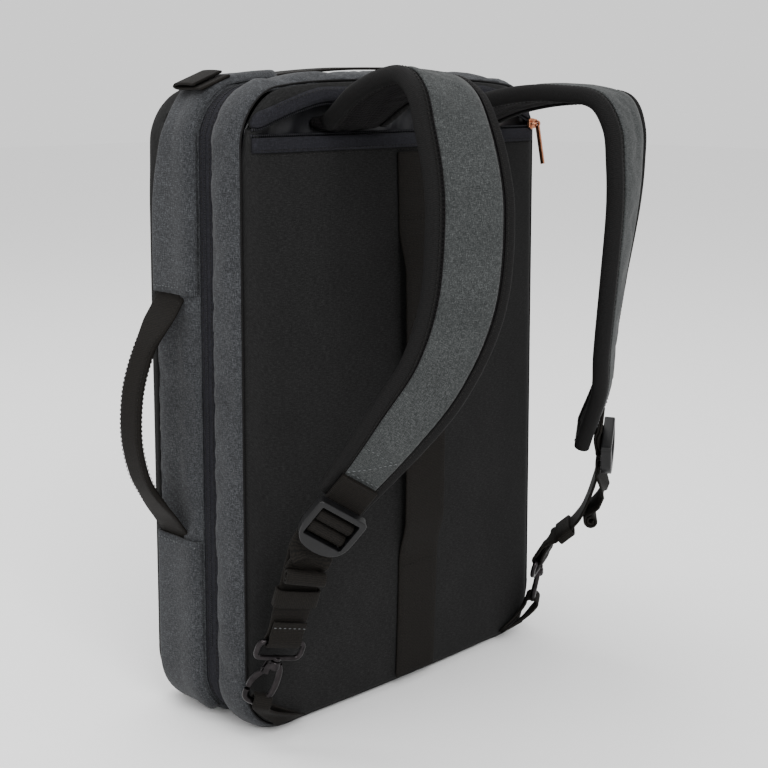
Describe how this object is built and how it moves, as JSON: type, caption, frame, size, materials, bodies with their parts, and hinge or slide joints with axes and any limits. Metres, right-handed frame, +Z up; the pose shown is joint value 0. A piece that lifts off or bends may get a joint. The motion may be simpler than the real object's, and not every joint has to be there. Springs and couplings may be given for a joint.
{
  "type": "convertible backpack",
  "caption": "Slim box-shaped backpack with padded shoulder straps that hook to its base, a strap pocket across the harness side, a luggage sleeve strap and webbing handles.",
  "frame": {"origin": "centre of the bag's flat base, on the plane that it stands on", "axes": "+Z up, +Y out of the front panel, -Y out of the harness side, +X to the right as seen from the harness side"},
  "size_m": [0.3255, 0.2444, 0.4255],
  "materials": {
    "heather_cloth": "two-tone heather weave, matt",
    "panel_cloth": "plain dark weave, matt",
    "harness_cloth": "fine dark weave, matt",
    "zip_tape_cloth": "herringbone tape, slight sheen",
    "zip_coil": "moulded coil, satin",
    "webbing": "flat woven webbing, slight sheen",
    "lining": "smooth lining, slight sheen",
    "spacer_mesh": "knitted spacer mesh over foam",
    "buckle_plastic": "moulded, satin",
    "hook_metal": "dark plated cast metal",
    "zip_pull_metal": "rose-gold plated, polished"
  },
  "bodies": {
    "bag": {"front_panel": "panel_cloth", "front_gusset": "heather_cloth", "main_zip_tape": "zip_tape_cloth", "main_zip_coil": "zip_coil", "rear_gusset": "heather_cloth", "piping": "webbing", "back_board": "lining", "pocket_panel": "harness_cloth", "pocket_zip_tape": "zip_tape_cloth", "pocket_lower_teeth": "zip_coil", "yoke": "harness_cloth", "pocket_upper_teeth": "zip_coil", "trolley_strap": "webbing", "side_handle": "webbing", "top_handle": "webbing", "overlay_top_left": "heather_cloth", "overlay_top_right": "heather_cloth", "overlay_base_left": "heather_cloth", "top_tab_left": "webbing", "top_tab_right": "webbing", "strap_pad_left": "spacer_mesh", "strap_face_left": "heather_cloth", "strap_binding_left": "webbing", "ladder_lock_left": "buckle_plastic", "anchor_webbing_left": "webbing", "swivel_eye_left": "hook_metal", "hook_body_left": "hook_metal", "lower_webbing_left": "webbing", "keeper_left": "webbing", "base_loop_left": "webbing", "strap_pad_right": "spacer_mesh", "strap_face_right": "heather_cloth", "strap_binding_right": "webbing", "ladder_lock_right": "buckle_plastic", "anchor_webbing_right": "webbing", "swivel_eye_right": "hook_metal", "hook_body_right": "hook_metal", "lower_webbing_right": "webbing", "keeper_right": "webbing", "base_loop_right": "webbing", "zip_slider": "zip_pull_metal"},
    "gate_left": {"hook_gate_left": "hook_metal"},
    "gate_right": {"hook_gate_right": "hook_metal"},
    "pull": {"zip_pull": "zip_pull_metal"}
  },
  "joints": [
    {"name": "gate_left_hinge", "type": "hinge", "parent": "bag", "child": "gate_left", "pos_m": [-0.14143, -0.06682, 0.05404], "axis": [-0.5574, -0.7961, -0.2356], "range_deg": [0, 24], "stiffness_Nm_per_rad": 0.004, "springref_deg": -11.46},
    {"name": "gate_right_hinge", "type": "hinge", "parent": "bag", "child": "gate_right", "pos_m": [0.12573, -0.06976, 0.05209], "axis": [-0.564, 0.8055, 0.182], "range_deg": [0, 24], "stiffness_Nm_per_rad": 0.004, "springref_deg": -11.46},
    {"name": "pull_swing", "type": "hinge", "parent": "bag", "child": "pull", "pos_m": [0.128, -0.06013, 0.383], "axis": [1, 0, 0], "range_deg": [-95, 15]}
  ]
}
